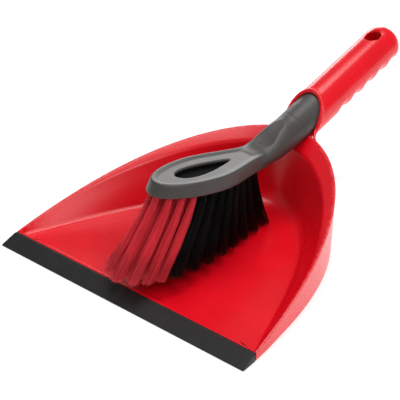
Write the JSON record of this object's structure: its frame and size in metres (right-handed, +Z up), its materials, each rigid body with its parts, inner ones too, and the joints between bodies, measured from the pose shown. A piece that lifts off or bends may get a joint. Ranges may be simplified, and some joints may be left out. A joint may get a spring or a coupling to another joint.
{
  "type": "dust pan and brush set",
  "caption": "Hand dust pan with a soft front lip, high curved back and a hollow handle that holds a small slide-out brush.",
  "frame": {"origin": "middle of the bounding box's bottom face, on the surface that the pan lies on", "axes": "+Z up, +Y from the lip to the end of the handle, +X across the pan"},
  "size_m": [0.24, 0.3376, 0.1126],
  "materials": {
    "red_plastic": "semi-gloss moulded",
    "black_rubber": "matt",
    "grey_plastic": "satin",
    "black_plastic": "satin",
    "red_nylon": "drawn filament",
    "black_nylon": "drawn filament"
  },
  "bodies": {
    "pan": {"dustpan_body": "red_plastic", "rubber_lip": "black_rubber"},
    "brush": {"brush_body": "grey_plastic", "bristle_block": "black_plastic", "tuft_red_01": "red_nylon", "tuft_red_02": "red_nylon", "tuft_red_03": "red_nylon", "tuft_red_04": "red_nylon", "tuft_red_05": "red_nylon", "tuft_red_06": "red_nylon", "tuft_red_07": "red_nylon", "tuft_red_08": "red_nylon", "tuft_red_09": "red_nylon", "tuft_red_10": "red_nylon", "tuft_red_11": "red_nylon", "tuft_red_12": "red_nylon", "tuft_red_13": "red_nylon", "tuft_red_14": "red_nylon", "tuft_black_01": "black_nylon", "tuft_black_02": "black_nylon", "tuft_black_03": "black_nylon", "tuft_black_04": "black_nylon", "tuft_black_05": "black_nylon", "tuft_black_06": "black_nylon", "tuft_black_07": "black_nylon", "tuft_black_08": "black_nylon", "tuft_black_09": "black_nylon", "tuft_black_10": "black_nylon", "tuft_black_11": "black_nylon", "tuft_black_12": "black_nylon", "tuft_black_13": "black_nylon", "tuft_black_14": "black_nylon", "tuft_black_15": "black_nylon", "tuft_black_16": "black_nylon", "tuft_black_17": "black_nylon", "tuft_black_18": "black_nylon", "tuft_black_19": "black_nylon", "tuft_black_20": "black_nylon", "tuft_black_21": "black_nylon", "tuft_black_22": "black_nylon", "tuft_black_23": "black_nylon", "tuft_black_24": "black_nylon", "tuft_black_25": "black_nylon", "tuft_black_26": "black_nylon", "tuft_black_27": "black_nylon", "tuft_black_28": "black_nylon", "tuft_black_29": "black_nylon", "tuft_black_30": "black_nylon", "tuft_black_31": "black_nylon", "tuft_black_32": "black_nylon", "tuft_black_33": "black_nylon", "tuft_black_34": "black_nylon"}
  },
  "joints": [
    {"name": "brush_slide", "type": "slide", "parent": "pan", "child": "brush", "axis": [0, -1, 0], "range_m": [0, 0.1]}
  ]
}
